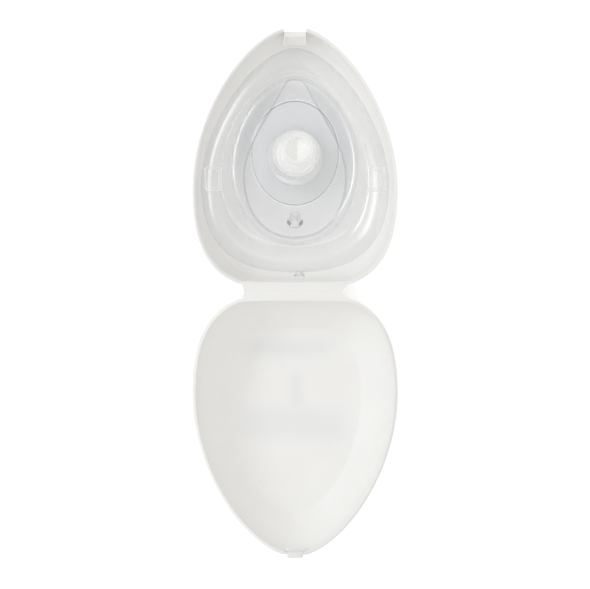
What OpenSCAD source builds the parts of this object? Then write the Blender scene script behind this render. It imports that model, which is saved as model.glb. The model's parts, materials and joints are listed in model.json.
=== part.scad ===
// Pocket resuscitation mask in a hinged clamshell case, lying open.
// Millimetres, +Z up. The hinge's fold line is X at y = 0, the tray lies on +Y and the lid on -Y,
// and z = 0 is the table. Tray and lid sizes start at their hinge edges, and mask sizes start
// mask_gap inside the tray's hinge edge.

/* [Case] */
// Length of each half, hinge edge to nose
case_len = 142.4; // [130:0.1:150]
// Half of the widest width of the case
case_hw = 56.5; // [53:0.5:60]
// Depth of the tray and of the lid
half_depth = 25; // [24:0.5:28]
// Wall thickness
wall = 1.4; // [1.2:0.1:1.8]
// How far the rim bead stands out from the wall
rim_bead = 0.6; // [0.4:0.1:1]
// How far the tray's wall curves in on its way down
tray_curve = 12; // [8:1:14]
// How far in the lid's flat floor starts
lid_floor_inset = 20.8; // [16:0.1:22]
// Place of the flat that cuts the nose of both halves
nose_flat = 141.2; // [140:0.1:142]

/* [Hinge and latch] */
// Width of each hinge leaf, rim to fold line
leaf = 3.3; // [3:0.1:5]
// Half length of the leaves at the rim
leaf_half = 29; // [25:0.5:30]
// How far the leaf's left end is cut back at the fold line
notch_left = 1; // [0.5:0.1:3]
// How far the leaf's right end is cut back at the fold line
notch_right = 3.4; // [1:0.1:5]
// Radius of the fold line's bead
film_r = 0.25; // [0.2:0.05:0.3]
// Width of the latch tongue
tongue_w = 8.8; // [7:0.2:10]
// Height of the latch tongue above the lid's rim
tongue_h = 9.2; // [8:0.1:10]
// Width of the notch in the tray's rim
notch_w = 12; // [11:0.5:14]

/* [Mask] */
// Height of the cushion
cushion_h = 18.2; // [16:0.1:19]
// Height of the fold line round the top of the collapsed dome
crest_z = 26; // [24:0.5:28]
// Height of the crease at the bottom of the collapsed dome
crease_z = 10.5; // [10:0.5:14]
// Thickness of the dome sheet
sheet = 1.1; // [0.9:0.1:1.4]

/* [Port and valve] */
// Inner radius of the 22 mm port
port_r = 11; // [10.5:0.1:11.5]
// Height of the port tube
port_h = 12; // [10:0.5:13]
// Lean of the port towards the nose
port_lean = 8; // [0:1:10]
// Lean of the port to the right
port_side = 3; // [0:1:5]
// Outer radius of the mouthpiece
mouth_r = 9; // [8.5:0.1:9.5]
// Inner radius of the mouthpiece
mouth_bore = 7.5; // [7:0.1:7.8]
// Top of the mouthpiece above the port's flange
mouth_top = 30; // [28:0.5:31]

/* [Oxygen inlet] */
// Radius of the nipple
nipple_r = 2.75; // [2.5:0.05:3]
// Height of the nipple above its boss
nipple_h = 5.2; // [4.5:0.1:7]
// Lean of the nipple towards the port
nipple_lean = 46; // [40:1:54]

/* [Hidden] */
$fn = 64;

case_white = [0.93, 0.93, 0.91];
clear_pvc = [0.80, 0.85, 0.88, 0.5];
clear_hard = [0.86, 0.90, 0.92, 0.5];
silicone = [0.92, 0.93, 0.93, 0.8];

eps = 0.01;
seg = 12;              // points along each of an outline's three stretches
rim_gap = 0.05;        // half the gap between the closed rims
rim_z = half_depth - rim_gap;
bead_h = 2.5;          // height of the rim bead
rim_w = rim_bead + wall;
lip_out = 1.35;        // inset of the lid lip's outer face
lip_in = 2.0;
lip_h = 1.2;
rabbet_in = 1.15;      // inset of the step that the lip drops into
rabbet_h = 1.5;
floor_t = 1.5;

// Smooth curves -------------------------------------------------------------------------------

// Point of a cubic Bezier curve.
function bez(p, t) = p[0]*pow(1-t, 3) + 3*p[1]*t*pow(1-t, 2) + 3*p[2]*t*t*(1-t) + p[3]*pow(t, 3);

// One stretch of an outline: curve p from t0 up to, but not at, t1.
function stretch(p, t0 = 0, t1 = 1) = [for (i = [0:seg-1]) bez(p, t0 + (t1-t0)*i/seg)];

// Closed outline from the stretches of its right half, chin first, mirrored to the left.
function closed(half, top) = let (n = len(half))
    concat(half, [[0, top]], [for (i = [n-1:-1:1]) [-half[i].x, half[i].y]]);

// Egg: half width w at height yw, from y0 at the chin to y1 at the nose. The pulls say how full
// the chin (c) and the nose (n) are.
function egg(w, yw, y0, y1, cx, cy, nx, ny) =
    let (chin = [[0, y0], [w*cx, y0], [w, yw - (yw-y0)*cy], [w, yw]],
         nose = [[w, yw], [w, yw + (y1-yw)*ny], [w*nx, y1], [0, y1]])
    closed(concat(stretch(chin), stretch(nose, 0, 0.7), stretch(nose, 0.7, 1)), y1);

// The rim of both case halves: flat at the hinge, widest near the hinge, pointed at the nose.
case_outline = let (w = case_hw, l = case_len)
    closed(concat(
        stretch([[0, 0], [w*0.3, 0], [w*0.51, 0], [w*0.56, 1]]),
        stretch([[w*0.56, 1], [w*0.85, 7.3], [w, l*0.16], [w, l*0.369]]),
        stretch([[w, l*0.369], [w, l*0.698], [w*0.405, l], [0, l]])), l);

// The rim outline drawn in by these distances at the sides, the hinge and the nose.
function inset(side, hinge, nose) = [for (p = case_outline)
    [p.x*(case_hw-side)/case_hw, hinge + p.y*(case_len-hinge-nose)/case_len]];

// Outlines of the mask.
cushion_out = egg(51.9, 55, 6.6, 130.2, 0.63, 0.73, 0.42, 0.44);
cushion_in = closed(concat(
    stretch([[0, 26.4], [17, 26.4], [27.8, 40], [27.8, 60]]),
    stretch([[27.8, 60], [27.8, 73], [18, 88], [11.3, 99.5]]),
    stretch([[11.3, 99.5], [4.8, 111], [5.4, 113], [0, 113]])), 113);
flange_out = egg(41, 60, 19.8, 118.3, 0.63, 0.66, 0.44, 0.51);
foot = egg(35.7, 64, 21.2, 114.2, 0.56, 0.56, 0.47, 0.52);
crest = egg(32.9, 64, 24.2, 111, 0.56, 0.56, 0.47, 0.52);
crease = egg(24.5, 72.5, 43.1, 101.9, 0.56, 0.56, 0.55, 0.55);

function lift(outline, z) = [for (p = outline) [p.x, p.y, z]];

// Outline part of the way f from a to b, at height z.
function between(a, b, f, z) = [for (i = [0:len(a)-1]) [each (a[i]*(1-f) + b[i]*f), z]];

// Solid through rings of points, counter-clockwise from above. A loop closes on its first ring.
module loft(rings, loop = false) {
    n = len(rings[0]);
    m = len(rings);
    sides = [for (r = [0:m-(loop ? 1 : 2)], i = [0:n-1])
        let (a = r*n + i, b = r*n + (i+1)%n, c = ((r+1)%m)*n + (i+1)%n, d = ((r+1)%m)*n + i)
        each [[a, d, c], [a, c, b]]];
    caps = loop ? [] : [[for (i = [0:n-1]) i], [for (i = [n-1:-1:0]) (m-1)*n + i]];
    polyhedron(points = [for (r = rings) each r], faces = concat(sides, caps), convexity = 8);
}

// Sheet of thickness t from outline a to outline b, along a profile of [share of the way, height].
// way is the distance between the outlines, and the end face at point upright stands upright.
function sheet_rings(a, b, prof, t, way, upright) =
    let (n = len(prof),
         dir = [for (k = [0:n-1])
             let (p = prof[max(k-1, 0)], q = prof[min(k+1, n-1)],
                  v = [(q[0]-p[0])*way, q[1]-p[1]]) k == upright ? [1, 0] : v/norm(v)])
    concat([for (k = [0:n-1]) between(a, b, prof[k][0], prof[k][1])],
           [for (k = [n-1:-1:0])
               between(a, b, prof[k][0] + t*dir[k][1]/way, prof[k][1] - t*dir[k][0])]);

// Case ----------------------------------------------------------------------------------------

// Inset of the tray's outer wall at depth d under the rim: a quarter ellipse.
function tray_in(d) = let (u = max(d-bead_h, 0)/(half_depth-bead_h))
    tray_curve*(1 - sqrt(max(1-u*u, 0)));

// Section of the tray at depth d, thick millimetres inside its outer wall.
function tray_section(d, thick) = let (f = tray_in(d))
    lift(inset(f + thick, 0.4*f + thick, 1.1*f + thick), half_depth - d);

tray_depths = [4.5, 7, 10, 13, 16, 19, 21.5, 23.6];
tray_rings = concat(
    [tray_section(half_depth, rim_bead)],
    [for (k = [len(tray_depths)-1:-1:0]) tray_section(tray_depths[k], rim_bead)],
    [tray_section(bead_h, rim_bead), tray_section(bead_h, 0)],
    [lift(inset(0, 0, 0), rim_z), lift(inset(rabbet_in, rabbet_in, rabbet_in), rim_z)],
    [for (in = [rabbet_in, rim_w]) lift(inset(in, in, in), rim_z - rabbet_h)],
    [for (d = tray_depths) if (d < half_depth - floor_t - 1) tray_section(d, rim_w)],
    [lift([for (p = tray_section(half_depth - floor_t, rim_w)) [p.x, p.y]], floor_t)]);

// The lid's profile: [inset, depth] along the outer wall.
lid_wall = [[rim_bead, bead_h], [rim_bead + 0.6, 13], [lid_floor_inset*0.5, 17],
            [lid_floor_inset, half_depth]];
lid_steps = [for (k = [1:8]) bez(lid_wall, k/8)];
function lid_section(p, thick) =
    lift(inset(p[0] + thick, 0.84*p[0] + thick, 1.12*p[0] + thick), half_depth - p[1]);

lid_rings = concat(
    [for (k = [7:-1:0]) lid_section(lid_steps[k], 0)],
    [lid_section(lid_wall[0], 0), lift(inset(0, 0, 0), half_depth - bead_h)],
    [lift(inset(0, 0, 0), rim_z), lift(inset(lip_out, lip_out, lip_out), rim_z)],
    [for (in = [lip_out, lip_in]) lift(inset(in, in, in), rim_z + lip_h)],
    [for (k = [0:6]) lid_section(lid_steps[k] - [0, 0.3*k/6], wall)],
    [lift([for (p = lid_section(lid_steps[7], 0.9)) [p.x, p.y]], floor_t)]);

// One leaf of the living hinge, on the +Y side.
module hinge_leaf(left, right) {
    edge = film_r + 0.15;
    translate([0, 0, rim_z - 1.1])
        linear_extrude(1.05)
            polygon([[-leaf_half, leaf + 1.2], [-leaf_half, leaf], [-leaf_half + left, edge],
                     [leaf_half - right, edge], [leaf_half, leaf], [leaf_half, leaf + 1.2]]);
}

bar_top = half_depth - 3;    // top of the bar that the tongue hooks under
bar_h = 3;
bar_y = 136.1;               // inner face of the bar's block
bar_t = 4.2;
block_z = 10;                // bottom of the bar's block
notch_y = 130;               // where the notch through the rim starts
groove_h = 3.4;              // height of the groove for the hook
recess_y = 139.5;            // face of the recess that the tongue lies in

module tray_shell() color(case_white) {
    difference() {
        union() {
            translate([0, leaf, 0]) loft(tray_rings);
            translate([-notch_w/2, leaf + bar_y, block_z])
                cube([notch_w, bar_t, bar_top - block_z]);
        }
        // notch through the rim, recess for the tongue, and groove for its hook
        translate([-notch_w/2, leaf + notch_y, bar_top]) cube([notch_w, 15, 5]);
        translate([-notch_w/2, leaf + recess_y, 4]) cube([notch_w, 5, 24]);
        translate([-tongue_w/2 - 0.6, leaf + recess_y - 1, bar_top - bar_h - groove_h])
            cube([tongue_w + 1.2, 2, groove_h]);
        translate([-20, leaf + nose_flat, -1]) cube([40, 5, 30]);
    }
    hinge_leaf(notch_left, notch_right);
}

module hinge_film() color(case_white)
    translate([-leaf_half + notch_left + 0.3, 0, half_depth])
        rotate([0, 90, 0]) cylinder(r = film_r, h = 2*leaf_half - notch_left - notch_right - 0.6);

label_recess = 0.25;

// Outline of the label and of its recess: the lid's floor, drawn in.
module floor_outline(by) {
    f = lid_floor_inset + by;
    polygon([for (p = inset(f, 0.84*f, 1.12*f)) [p.x, p.y]]);
}

tongue_in = 139.8;           // inner face of the latch tongue
root_z = half_depth - 3.3;   // height of the tongue's flexing root
root_r = 0.7;
thumb = 1.3;                 // how far the tongue's thumb lip stands out
thumb_h = 2;
hook = 0.8;                  // how far the hook reaches in

module lid_shell() color(case_white) {
    difference() {
        mirror([0, 1, 0]) translate([0, leaf, 0]) loft(lid_rings);
        translate([0, -leaf, 0]) mirror([0, 1, 0])
            translate([0, 0, -eps]) linear_extrude(label_recess) floor_outline(4);
        // seat of the latch tongue
        translate([-tongue_w/2 - 0.15, -leaf - nose_flat - 5, root_z - root_r - 0.2])
            cube([tongue_w + 0.3, nose_flat - recess_y + 5, 10]);
        translate([-20, -leaf - nose_flat - 5, -1]) cube([40, 5, 30]);
    }
    // thicker wall behind the tongue
    translate([-tongue_w/2 - 1, -leaf - recess_y, root_z - root_r - 1.2])
        cube([tongue_w + 2, 2.2, root_r + 3.3 + 1.2]);
    mirror([0, 1, 0]) hinge_leaf(notch_left, notch_right);
}

module lid_label() color([0.87, 0.89, 0.91])
    translate([0, -leaf, 0]) mirror([0, 1, 0])
        translate([0, 0, 0.06]) linear_extrude(0.14) floor_outline(4.5);

module latch_tongue() color(case_white) {
    thick = nose_flat - tongue_in;
    top = half_depth + tongue_h;
    hook_z = half_depth + bar_h + groove_h;
    difference() {
        union() {
            translate([-tongue_w/2, -leaf - nose_flat, root_z])
                cube([tongue_w, thick, top - root_z]);
            translate([0, -leaf - nose_flat + thick/2, root_z]) rotate([0, 90, 0])
                cylinder(r = root_r, h = tongue_w, center = true);
            // hook, with a sloping lead-in
            translate([-tongue_w/2, -leaf - tongue_in, 0]) rotate([90, 0, 90])
                linear_extrude(tongue_w)
                    polygon([[-eps, hook_z], [hook, hook_z], [hook, hook_z + 1.2], [-eps, top - 0.1]]);
            // thumb lip
            translate([-tongue_w/2, -leaf - nose_flat - thumb, top - thumb_h])
                cube([tongue_w, thumb + eps, thumb_h]);
        }
        // rounded upper corners
        for (s = [-1, 1]) translate([s*(tongue_w/2), -leaf - nose_flat, top]) rotate([-90, 0, 0])
            rotate([0, 0, 45]) translate([0, 0, -1]) cube([2, 2, 9], center = false);
    }
}

// Mask ----------------------------------------------------------------------------------------

mask_gap = 0.65;

module in_tray() translate([0, leaf + mask_gap, 0]) children();

cushion_base = floor_t + 0.6;

// Section of the cushion: [share of the way out, share of the height], a wedge with a low inner
// edge that lies on the face and a full outer side.
cushion_curves = [
    [[1, 0.58], [1, 0.88], [0.82, 1], [0.58, 1]],
    [[0.58, 1], [0.46, 1], [0.14, 0.4], [0, 0.14]],
    [[0, 0.14], [-0.02, 0.05], [0.1, 0], [0.28, 0]],
    [[0.28, 0], [0.36, 0], [0.44, 0], [0.52, 0]],
    [[0.52, 0], [0.72, 0], [1, 0.3], [1, 0.58]]];
cushion_section = [for (c = cushion_curves, t = [0:0.25:0.8]) bez(c, t)];

module face_cushion() color(clear_pvc) in_tray()
    loft([for (p = cushion_section)
        between(cushion_in, cushion_out, p[0], cushion_base + cushion_h*p[1])], loop = true);

flange_z = cushion_base + cushion_h + 0.05;
flange_t = 1.2;
lug_y = 58;
lug_w = 14.2;
lug_end = 49.8;
slot_w = 4.6;
slot_len = 9.4;
slot_x = 44.8;

module lug(s) translate([s*(lug_end + 34)/2, lug_y])
    offset(1.5) square([lug_end - 34 - 3, lug_w - 3], center = true);

module strap_flange() color(clear_hard) in_tray() translate([0, 0, flange_z])
    linear_extrude(flange_t) difference() {
        union() {
            polygon(flange_out);
            for (s = [-1, 1]) lug(s);
        }
        polygon(foot_hole);
        for (s = [-1, 1]) translate([s*slot_x, lug_y]) square([slot_w, slot_len], center = true);
    }

// The flange's hole: just inside the dome's foot.
foot_mid = 67.7;
foot_hole = [for (p = foot) [p.x*0.955, foot_mid + (p.y - foot_mid)*0.965]];

skirt_z = flange_z + flange_t + 0.05;
way_skirt = 3;
way_fold = 12;

module dome_skirt() color(clear_pvc) in_tray()
    loft(sheet_rings(foot, crest,
        [[0, skirt_z + 0.4], [0.1, skirt_z + 1.3], [0.26, skirt_z + 2.4], [0.52, crest_z - 0.5],
         [1, crest_z]], sheet, way_skirt, 4), loop = true);

// Profile of the collapsed wall from the crest down to the crease.
fold_profile = [[0.02, crest_z], [0.14, crest_z - 0.5], [0.26, crest_z - 2], [0.42, crest_z - 4.8],
                [0.6, crest_z - 8.4], [0.8, crease_z + 3.2], [0.92, crease_z + 1], [0.985, crease_z]];

nipple_y = 32.9;
nipple_z = 20.8;

module at_nipple() in_tray() translate([0, nipple_y, nipple_z]) rotate([-nipple_lean, 0, 0]) children();

module dome_fold() color(clear_pvc) difference() {
    in_tray() loft(sheet_rings(crest, crease, fold_profile, sheet, way_fold, 0), loop = true);
    at_nipple() cylinder(r = 1.6, h = 12, center = true);
}

stem_x = 2.4;
stem_y = 6.55;         // the cushion's chin, where the stem starts
stem_z = 13.5;
stem_r = 2.7;
stem_len = 1.35;
plug_r = 1.7;
plug_head_r = 2.9;
plug_head_t = 0.7;
shank_len = 1.2;

// Frame of the stem: +Z runs out of the cushion, towards the hinge.
module along_stem() in_tray() translate([stem_x, stem_y, stem_z]) rotate([90, 0, 0]) children();

module inflation_stem() color(clear_pvc) along_stem() difference() {
    cylinder(r = stem_r, h = stem_len);
    translate([0, 0, -1]) cylinder(r = plug_r + 0.05, h = stem_len + 2);
}

module inflation_plug() color(clear_hard) along_stem() {
    translate([0, 0, stem_len + 0.05 - shank_len]) cylinder(r = plug_r, h = shank_len + 0.01);
    translate([0, 0, stem_len + 0.05]) cylinder(r = plug_head_r, h = plug_head_t);
}

// Port and valve ------------------------------------------------------------------------------

port_y = 70;
port_z = 14.2;

// A point in the port's frame, in mask coordinates.
function in_port(p) =
    let (q = [p.x*cos(port_side) + p.z*sin(port_side), p.y, -p.x*sin(port_side) + p.z*cos(port_side)])
    [q.x, port_y + q.y*cos(port_lean) + q.z*sin(port_lean),
     port_z - q.y*sin(port_lean) + q.z*cos(port_lean)];

module at_port() in_tray() translate([0, port_y, port_z])
    rotate([-port_lean, 0, 0]) rotate([0, port_side, 0]) children();

function circle_ring(r, w) = [for (p = egg(r, 0, -r, r, 0.5523, 0.5523, 0.5523, 0.5523))
    in_port([p.x, p.y, w])];

function mix(a, b, f, dz) = [for (i = [0:len(a)-1]) a[i]*(1-f) + b[i]*f + [0, 0, dz]];

collar_r = 15.6;
hole_r = 12.55;
crease_mid = 72.5;
edge_k = 0.985;        // the crown's edge, as a share of the crease
filter_r = 11.8;
clamp_r = 15.2;        // outer radius of the filter's ring
clamp_low = -4.1;
clamp_seat = -2.6;     // where the filter rests

module dome_crown() color(clear_pvc) in_tray() {
    edge = [for (p = crease) [p.x*edge_k, crease_mid + (p.y-crease_mid)*edge_k, crease_z - 0.2]];
    ring = circle_ring(collar_r, 0);
    under = circle_ring(collar_r, -sheet);
    low = [for (p = edge) p - [0, 0, sheet]];
    loft(concat([edge], [for (f = [0.3, 0.6, 0.85]) mix(edge, ring, f, 0.9*f*(1-f))],
                [ring, circle_ring(hole_r, 0), circle_ring(hole_r, -sheet), under],
                [for (f = [0.85, 0.6, 0.3]) mix(low, under, f, 0.9*f*(1-f))], [low]), loop = true);
}

// Ring with this [radius, height] section, turned round the axis.
module turned(section) rotate_extrude($fn = 96) polygon(section);

module port_connector() color(clear_hard) at_port() turned([
    [port_r, -sheet], [port_r + 1.4, -sheet], [port_r + 1.4, 0.05], [collar_r - 0.1, 0.05],
    [collar_r - 0.1, 1], [port_r + 2.2, 1.4], [port_r + 1.4, 2.6], [port_r + 1.4, port_h - 1.4],
    [port_r + 1.9, port_h - 1.2], [port_r + 1.9, port_h], [port_r, port_h]]);

module filter_ring() color(silicone) at_port() turned([
    [9.4, clamp_low], [clamp_r, clamp_low], [clamp_r, -sheet - 0.05], [filter_r + 0.2, -sheet - 0.05],
    [filter_r + 0.2, clamp_seat], [9.4, clamp_seat]]);

module filter_membrane() color([0.96, 0.96, 0.95]) at_port()
    translate([0, 0, clamp_seat + 0.05]) cylinder(r = filter_r, h = 0.5, $fn = 96);

spigot_r = port_r - 0.05;
chamber_r = 9.3;
shoulder = port_h + 0.3;
vent_z = shoulder + 1.4;
vent_h = 3.2;
neck_z = vent_z + vent_h + 1;
seat_z = mouth_top - 3.2;

module valve_housing() color(clear_hard) at_port() difference() {
    turned([
        [chamber_r, 1.5], [spigot_r, 1.5], [spigot_r, shoulder], [port_r + 1.9, shoulder],
        [port_r + 1.9, vent_z], [port_r, vent_z], [port_r, neck_z - 1], [mouth_r, neck_z + 0.6],
        [mouth_r, mouth_top - 0.3], [mouth_r - 0.3, mouth_top], [mouth_bore + 0.5, mouth_top],
        [mouth_bore + 0.5, seat_z], [mouth_bore, seat_z], [mouth_bore, neck_z],
        [chamber_r, neck_z - 1]]);
    for (a = [0:45:359]) rotate([0, 0, a + 22.5])
        translate([port_r - 3, -1.6, vent_z + 0.4]) cube([6, 3.2, vent_h - 0.8]);
}

module exhalation_sleeve() color(silicone) at_port() translate([0, 0, vent_z - 0.6])
    difference() {
        cylinder(r = chamber_r - 0.05, h = vent_h + 0.5);
        translate([0, 0, -1]) cylinder(r = chamber_r - 0.55, h = vent_h + 4);
    }

duck_len = 5;
slit_half = 5.9;

// Funnel from a round mouth to a flat slit along Y, thick millimetres inside the outer one.
function duck_ring(w, f, thick) = [for (a = [0:15:359])
    [(6.9*(1-f) + 0.9*f - thick)*cos(a), (6.9*(1-f) + (slit_half+0.6)*f - thick)*sin(a), w]];

module duckbill_valve() color(silicone) at_port() {
    top = seat_z + 0.05;
    difference() {
        translate([0, 0, top]) cylinder(r = mouth_bore + 0.35, h = 1.1);
        translate([0, 0, top - 1]) cylinder(r = 6.2, h = 4);
    }
    loft(concat(
        [for (f = [1, 0.66, 0.33, 0]) duck_ring(top + 0.02 - duck_len*f, f, 0)],
        [for (f = [0, 0.33, 0.66, 1]) duck_ring(top + 0.02 - duck_len*f, f, 0.6)]), loop = true);
}

module mouthpiece_ring() color(clear_hard) at_port() translate([0, 0, seat_z + 1.25])
    difference() {
        cylinder(r = mouth_bore + 0.45, h = mouth_top - seat_z - 1.25);
        translate([0, 0, -1]) cylinder(r = mouth_bore - 0.5, h = 5);
    }

// Oxygen inlet --------------------------------------------------------------------------------

boss_r = 4.4;
boss_h = 2.4;
boss_gap = 0.35;

module oxygen_nipple() color(clear_hard) at_nipple() turned([
    [2.5, boss_gap], [boss_r, boss_gap], [boss_r, boss_gap + boss_h - 0.4],
    [boss_r - 0.5, boss_gap + boss_h], [nipple_r, boss_gap + boss_h],
    [nipple_r, boss_gap + boss_h + nipple_h - 0.3], [nipple_r - 0.3, boss_gap + boss_h + nipple_h],
    [1.6, boss_gap + boss_h + nipple_h], [1.6, boss_gap + 1.4], [2.5, boss_gap + 1.4]]);

module oxygen_check_disc() color(silicone) at_nipple()
    translate([0, 0, boss_gap + 0.5]) cylinder(r = 2.3, h = 0.5);

tray_shell();
hinge_film();
lid_shell();
lid_label();
latch_tongue();
face_cushion();
strap_flange();
dome_skirt();
dome_fold();
inflation_stem();
inflation_plug();
dome_crown();
port_connector();
filter_ring();
filter_membrane();
oxygen_nipple();
oxygen_check_disc();
valve_housing();
exhalation_sleeve();
duckbill_valve();
mouthpiece_ring();
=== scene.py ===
import json
import math

import bmesh
import bpy
from mathutils import Matrix, Vector

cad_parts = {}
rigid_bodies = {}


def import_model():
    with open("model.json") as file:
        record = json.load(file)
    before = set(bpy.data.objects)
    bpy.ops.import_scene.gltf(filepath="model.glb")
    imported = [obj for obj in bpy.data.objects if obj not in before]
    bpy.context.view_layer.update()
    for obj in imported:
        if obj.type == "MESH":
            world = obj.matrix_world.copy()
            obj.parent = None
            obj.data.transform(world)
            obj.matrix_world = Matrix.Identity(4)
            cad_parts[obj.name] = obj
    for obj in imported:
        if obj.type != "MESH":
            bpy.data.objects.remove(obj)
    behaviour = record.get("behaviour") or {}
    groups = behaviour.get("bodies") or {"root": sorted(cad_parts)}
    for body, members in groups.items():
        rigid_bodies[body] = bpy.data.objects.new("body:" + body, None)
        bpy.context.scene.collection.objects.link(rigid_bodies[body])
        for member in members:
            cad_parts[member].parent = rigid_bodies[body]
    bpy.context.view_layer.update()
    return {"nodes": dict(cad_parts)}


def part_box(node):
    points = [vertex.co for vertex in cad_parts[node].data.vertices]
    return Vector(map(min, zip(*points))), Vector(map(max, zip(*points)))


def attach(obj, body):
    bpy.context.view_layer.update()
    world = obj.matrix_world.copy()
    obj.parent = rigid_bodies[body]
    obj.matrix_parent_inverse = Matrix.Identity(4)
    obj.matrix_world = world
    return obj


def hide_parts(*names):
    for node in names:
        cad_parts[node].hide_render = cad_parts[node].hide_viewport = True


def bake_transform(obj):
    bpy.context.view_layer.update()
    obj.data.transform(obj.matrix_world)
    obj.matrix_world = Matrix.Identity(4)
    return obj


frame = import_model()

MM = 0.001

# --- Driving dimensions, in millimetres, the same as the frame's -----------------------------------
CASE_LEN = 142.4           # each half of the case, hinge edge to nose
CASE_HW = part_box("tray_shell")[1].x / MM
HALF_DEPTH = 25.0
RIM_GAP = 0.05             # half the gap between the closed rims
RIM_Z = HALF_DEPTH - RIM_GAP
LEAF = 3.3                 # width of each hinge leaf
MASK_GAP = 0.65            # the mask's sizes start this far inside the tray's hinge edge
LEAF_HALF = 29.0
NOTCH_LEFT = 1.0
NOTCH_RIGHT = 3.4
BEAD = 0.6                 # how far the rim bead stands out
BEAD_H = 2.5
WALL = 1.4
RIM_W = BEAD + WALL
FLOOR_T = 1.5
TRAY_CURVE = 12.0
LID_FLOOR_INSET = 20.8
LID_HINGE_K = 0.84         # the lid's wall is drawn in less at the hinge than at the sides
LID_NOSE_K = 1.12          # and more at the nose
NOSE_FLAT = 141.2          # flat that cuts the nose of both halves
PAST_NOSE = NOSE_FLAT + 5
ABOVE_RIM = HALF_DEPTH + 5
TONGUE_W = 8.8
ROOT_Z = HALF_DEPTH - 3.3  # the latch tongue's flexing root
ROOT_R = 0.7
HOOK_UP = 6.4              # how far the tongue's hook sits past the rim
NOTCH_W = 12.0
BAR_TOP = HALF_DEPTH - 3.0
BAR_H = 3.0
RECESS_Y = 139.5           # face of the recess that the tongue lies in

CUSHION_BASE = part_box("face_cushion")[0].z / MM
CUSHION_H = (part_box("face_cushion")[1].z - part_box("face_cushion")[0].z) / MM
FLANGE_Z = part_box("strap_flange")[0].z / MM
FLANGE_T = 1.2
LUG_Y = 58.0
LUG_W = 14.2
LUG_END = 49.8
SLOT_X = 44.8
CREST_Z = 26.0
CREASE_Z = 10.5
SHEET = 1.1

PORT_Y = 70.0
PORT_Z = 14.2
PORT_LEAN = 8.0            # towards the nose, in degrees
PORT_SIDE = 3.0            # to the right
PORT_R = 11.0
PORT_H = 12.0
COLLAR_R = 15.6            # the port's flange, and the crown's seat for it
HOLE_R = 12.55
MOUTH_R = 9.0
MOUTH_BORE = 7.5
MOUTH_TOP = 30.0

STEM_AT = (2.4, 6.55, 13.5)
NIPPLE_AT = (0, 32.9, 20.8)
NIPPLE_LEAN = 46.0

STEPS = 26                 # points along each stretch of an outline


# --- Curves ------------------------------------------------------------------------------------------
def bez(p, t):
    """Point of a cubic Bezier curve."""
    u = 1 - t
    weights = (u * u * u, 3 * u * u * t, 3 * u * t * t, t * t * t)
    return tuple(sum(w * q[i] for w, q in zip(weights, p)) for i in range(len(p[0])))


def stretch(p, t0=0.0, t1=1.0):
    """Points along one stretch of an outline, without its last point."""
    return [bez(p, t0 + (t1 - t0) * i / STEPS) for i in range(STEPS)]


def closed(half, top):
    """Closed outline from its right half, chin first, mirrored to the left."""
    return half + [(0.0, top)] + [(-x, y) for x, y in reversed(half[1:])]


def egg(w, yw, y0, y1, cx, cy, nx, ny):
    """Egg with half width w at height yw, from y0 at the chin to y1 at the nose."""
    chin = [(0, y0), (w * cx, y0), (w, yw - (yw - y0) * cy), (w, yw)]
    nose = [(w, yw), (w, yw + (y1 - yw) * ny), (w * nx, y1), (0, y1)]
    return closed(stretch(chin) + stretch(nose, 0, 0.7) + stretch(nose, 0.7, 1), y1)


def case_outline():
    """Rim of both case halves: flat at the hinge, widest near it, pointed at the nose."""
    w, length = CASE_HW, CASE_LEN
    half = stretch([(0, 0), (w * 0.3, 0), (w * 0.51, 0), (w * 0.56, 1)])
    half += stretch([(w * 0.56, 1), (w * 0.85, 7.3), (w, length * 0.16), (w, length * 0.369)])
    half += stretch([(w, length * 0.369), (w, length * 0.698), (w * 0.405, length), (0, length)])
    return closed(half, length)


RIM = case_outline()


def inset(side, hinge, nose):
    """The rim drawn in by these distances at the sides, the hinge and the nose."""
    kx = (CASE_HW - side) / CASE_HW
    ky = (CASE_LEN - hinge - nose) / CASE_LEN
    return [(x * kx, hinge + y * ky) for x, y in RIM]


def between(a, b, share, z):
    """Ring part of the way from outline a to outline b, at height z."""
    return [(p[0] + (q[0] - p[0]) * share, p[1] + (q[1] - p[1]) * share, z) for p, q in zip(a, b)]


def lift(outline, z):
    return [(x, y, z) for x, y in outline]


def shrunk(outline, kx, ky, middle):
    """Outline scaled about the point (0, middle)."""
    return [(x * kx, middle + (y - middle) * ky) for x, y in outline]


def fillet(points, radius, steps=4, loop=True):
    """Polyline with each corner rounded; a corner keeps its place where its sides are short."""
    out = []
    n = len(points)
    for i, p in enumerate(points):
        if not loop and i in (0, n - 1):
            out.append(p)
            continue
        p = Vector(p)
        a, b = Vector(points[i - 1]), Vector(points[(i + 1) % n])
        turn = (p - a).angle(b - p, 0.0)
        if turn < 0.2:
            out.append(tuple(p))
            continue
        cut = min(radius * math.tan(turn / 2), 0.45 * (p - a).length, 0.45 * (b - p).length)
        start = p + (a - p).normalized() * cut
        end = p + (b - p).normalized() * cut
        for k in range(steps + 1):
            t = k / steps
            out.append(tuple((1 - t) ** 2 * start + 2 * t * (1 - t) * p + t * t * end))
    return out


# --- Meshes ------------------------------------------------------------------------------------------
TRAY_PLACE = Matrix.Translation((0, LEAF * MM, 0))
MASK_PLACE = Matrix.Translation((0, (LEAF + MASK_GAP) * MM, 0))
LID_PLACE = Matrix.Scale(-1, 4, (0, 1, 0)) @ TRAY_PLACE


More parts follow.
